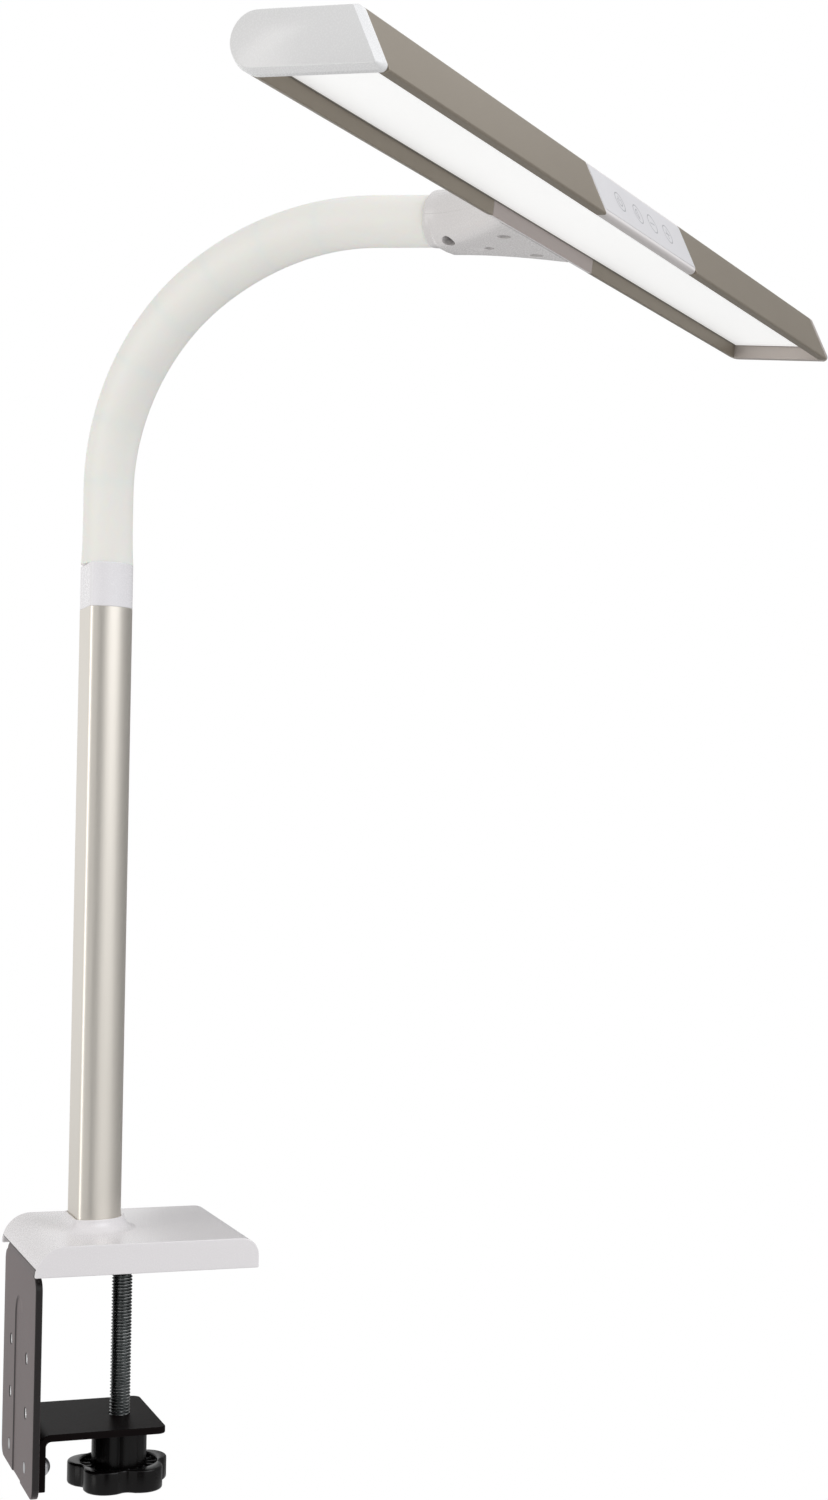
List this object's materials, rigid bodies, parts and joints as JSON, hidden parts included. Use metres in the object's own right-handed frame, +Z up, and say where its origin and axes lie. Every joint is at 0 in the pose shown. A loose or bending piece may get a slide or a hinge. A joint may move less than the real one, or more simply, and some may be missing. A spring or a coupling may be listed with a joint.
{
  "type": "clamp lamp",
  "caption": "Table-clamp LED lamp: bent steel clamp with screw and star knob, D-section pole, bendable sleeved neck and a long bar head with an opal diffuser and touch panel.",
  "frame": {"origin": "on the pole's axis in the plane of the table top, on the face of the rubber under the top jaw", "axes": "+X the way the clamp opens, +Y across the clamp, +Z up along the pole"},
  "size_m": [0.4049, 0.4118, 0.59],
  "materials": {
    "white_plastic": "fine satin moulding",
    "black_steel": "semi-matt powder coat",
    "jaw_rubber": "matt",
    "plated_steel": "zinc plated",
    "black_plastic": "satin moulding",
    "pad_rubber": "matt",
    "screw_steel": "oiled rolled thread",
    "champagne_aluminium": "satin anodised",
    "taupe_aluminium": "fine blasted and anodised",
    "bare_aluminium": "as extruded",
    "white_silicone": "smooth satin silicone",
    "core_steel": "wound steel",
    "lamp_board": "white solder mask",
    "lamp": "clear encapsulant over phosphor",
    "opal_plastic": "opal, lit from behind",
    "touch_plastic": "smooth semi-gloss",
    "green_board": "solder mask"
  },
  "bodies": {
    "clamp": {"base_cover": "white_plastic", "clamp_frame": "black_steel", "jaw_pad_rear": "jaw_rubber", "jaw_pad_front": "jaw_rubber", "cover_screws": "plated_steel", "dc_inlet": "black_plastic", "lower_bracket": "black_steel", "bracket_bolts": "plated_steel", "pole": "champagne_aluminium", "pole_foot": "bare_aluminium", "pole_bolts": "plated_steel", "ferrule": "white_plastic", "neck_retainer": "bare_aluminium", "neck_sleeve_0": "white_silicone", "neck_core_0": "core_steel"},
    "pressure_pad": {"pressure_pad": "pad_rubber"},
    "clamp_screw": {"clamp_screw": "screw_steel", "star_knob": "black_plastic"},
    "neck_1": {"neck_sleeve_1": "white_silicone", "neck_core_1": "core_steel"},
    "neck_2": {"neck_sleeve_2": "white_silicone", "neck_core_2": "core_steel"},
    "neck_3": {"neck_sleeve_3": "white_silicone", "neck_core_3": "core_steel"},
    "neck_4": {"neck_sleeve_4": "white_silicone", "neck_core_4": "core_steel"},
    "neck_5": {"neck_sleeve_5": "white_silicone", "neck_core_5": "core_steel"},
    "neck_6": {"neck_sleeve_6": "white_silicone", "neck_core_6": "core_steel"},
    "neck_7": {"neck_sleeve_7": "white_silicone", "neck_core_7": "core_steel"},
    "head": {"neck_sleeve_8": "white_silicone", "neck_core_8": "core_steel", "bracket_upper": "white_plastic", "bracket_lower": "white_plastic", "fan_screws": "plated_steel", "middle_casing": "white_plastic", "left_casing": "taupe_aluminium", "right_casing": "taupe_aluminium", "left_end_cap": "white_plastic", "right_end_cap": "taupe_aluminium", "head_spine": "bare_aluminium", "lamp_board": "lamp_board", "lamps": "lamp", "diffuser": "opal_plastic", "touch_panel": "touch_plastic", "touch_board": "green_board"}
  },
  "joints": [
    {"name": "pad_slide", "type": "slide", "parent": "clamp", "child": "pressure_pad", "axis": [0, 0, 1], "range_m": [-0.062, 0]},
    {"name": "screw_turn", "type": "hinge", "parent": "pressure_pad", "child": "clamp_screw", "pos_m": [0.0138, 0, -0.05], "axis": [0, 0, 1], "range_deg": [-14900, 10]},
    {"name": "neck_bend_1", "type": "hinge", "parent": "clamp", "child": "neck_1", "pos_m": [0, 0, 0.34852], "axis": [0.7254, 0.6884, 0], "range_deg": [-25, 15]},
    {"name": "neck_sway_1", "type": "hinge", "parent": "neck_1", "child": "neck_2", "pos_m": [0.00071, -0.00075, 0.37743], "axis": [-0.6645, 0.7002, 0.2609], "range_deg": [-12, 12]},
    {"name": "neck_bend_2", "type": "hinge", "parent": "neck_2", "child": "neck_3", "pos_m": [0.00658, -0.00694, 0.40507], "axis": [0.7254, 0.6884, 0], "range_deg": [-25, 15]},
    {"name": "neck_sway_2", "type": "hinge", "parent": "neck_3", "child": "neck_4", "pos_m": [0.01722, -0.01815, 0.42953], "axis": [-0.4835, 0.5095, 0.7117], "range_deg": [-12, 12]},
    {"name": "neck_bend_3", "type": "hinge", "parent": "neck_4", "child": "neck_5", "pos_m": [0.03188, -0.0336, 0.44911], "axis": [0.7254, 0.6884, 0], "range_deg": [-25, 15]},
    {"name": "neck_sway_3", "type": "hinge", "parent": "neck_5", "child": "neck_6", "pos_m": [0.04999, -0.05268, 0.46296], "axis": [-0.2081, 0.2193, 0.9532], "range_deg": [-12, 12]},
    {"name": "neck_bend_4", "type": "hinge", "parent": "neck_6", "child": "neck_7", "pos_m": [0.06967, -0.07342, 0.4711], "axis": [0.7254, 0.6884, 0], "range_deg": [-25, 15]},
    {"name": "neck_sway_4", "type": "hinge", "parent": "neck_7", "child": "head", "pos_m": [0.09008, -0.09493, 0.47316], "axis": [0.0743, -0.0783, 0.9942], "range_deg": [-12, 12]}
  ],
  "couplings": [
    {"joint": "screw_turn", "follows": "pad_slide", "rad_per_m": 4188.8}
  ]
}
